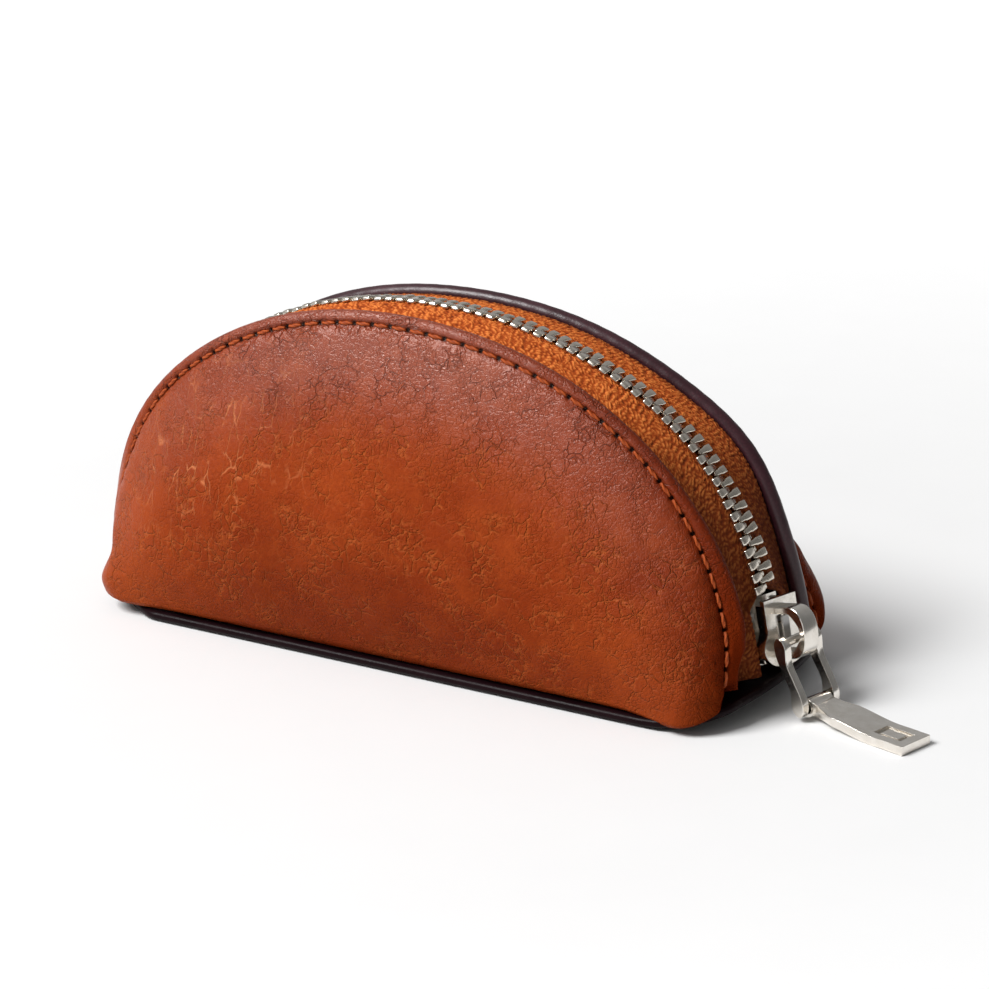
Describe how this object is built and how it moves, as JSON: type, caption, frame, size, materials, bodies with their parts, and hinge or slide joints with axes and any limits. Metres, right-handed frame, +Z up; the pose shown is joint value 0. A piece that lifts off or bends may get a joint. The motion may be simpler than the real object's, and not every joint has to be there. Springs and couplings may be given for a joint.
{
  "type": "zippered pouch",
  "caption": "Half-moon leather pouch with a curved metal zipper over the top, a locking slider with a link and pull tab, two side walls that open outwards and a flat base.",
  "frame": {"origin": "middle of the flat underside of the base, where the pouch rests", "axes": "+Z up, +X along the pouch towards the closed end of the zipper, -Y towards the front wall"},
  "size_m": [0.1578, 0.05, 0.0617],
  "materials": {
    "tan_leather": "waxed full-grain leather with a fine crackled grain and a soft sheen",
    "dark_leather": "smooth dark aubergine leather with a low gloss",
    "lining_fabric": "plain woven cotton",
    "stiffener_board": "bonded leather board, raw",
    "zipper_tape": "orange-brown woven zipper tape with a coarse weave",
    "thread": "waxed orange-brown thread",
    "nickel": "polished warm nickel plate",
    "spring_steel": "satin steel"
  },
  "bodies": {
    "base": {"base_panel": "dark_leather", "base_stiffener": "stiffener_board", "base_lining": "lining_fabric", "open_end_stop": "nickel"},
    "front_wall": {"front_panel": "tan_leather", "front_lining": "lining_fabric", "front_edge_facing": "dark_leather", "front_zipper_tape": "zipper_tape", "front_zipper_teeth": "nickel", "front_closing_stop": "nickel", "front_edge_stitching": "thread"},
    "back_wall": {"back_panel": "tan_leather", "back_lining": "lining_fabric", "back_edge_facing": "dark_leather", "back_zipper_tape": "zipper_tape", "back_zipper_teeth": "nickel", "back_closing_stop": "nickel", "back_edge_stitching": "thread"},
    "slider": {"slider_body": "nickel", "slider_cap": "nickel"},
    "lock_spring": {"lock_spring": "spring_steel"},
    "link": {"connecting_link": "nickel"},
    "pull_tab": {"pull_tab": "nickel"}
  },
  "joints": [
    {"name": "slider_travel", "type": "hinge", "parent": "base", "child": "slider", "pos_m": [0, 0, -0.00375], "axis": [0, 1, 0], "range_deg": [-149, 0], "deforming": ["front_zipper_tape", "front_zipper_teeth", "back_zipper_tape", "back_zipper_teeth"]},
    {"name": "front_wall_opening", "type": "hinge", "parent": "base", "child": "front_wall", "pos_m": [0, -0.0234, 0.002], "axis": [1, 0, 0], "range_deg": [0, 14]},
    {"name": "back_wall_opening", "type": "hinge", "parent": "base", "child": "back_wall", "pos_m": [0, 0.0234, 0.002], "axis": [-1, 0, 0], "range_deg": [0, 14]},
    {"name": "link_swing", "type": "hinge", "parent": "slider", "child": "link", "pos_m": [0.06744, -0.00251, 0.0122], "axis": [0.2588, 0.9659, 0], "range_deg": [-110, 0]},
    {"name": "pull_tab_swing", "type": "hinge", "parent": "link", "child": "pull_tab", "pos_m": [0.07185, -0.00369, 0.00195], "axis": [0.2588, 0.9659, 0], "range_deg": [-40, 66]},
    {"name": "lock_lift", "type": "slide", "parent": "slider", "child": "lock_spring", "axis": [0.9372, -0.2588, 0.2337], "range_m": [0, 0.0007]}
  ],
  "couplings": [
    {"joint": "front_wall_opening", "follows": "slider_travel", "ratio": -0.09395},
    {"joint": "back_wall_opening", "follows": "slider_travel", "ratio": -0.09395},
    {"joint": "lock_lift", "follows": "link_swing", "m_per_rad": -0.000364}
  ]
}
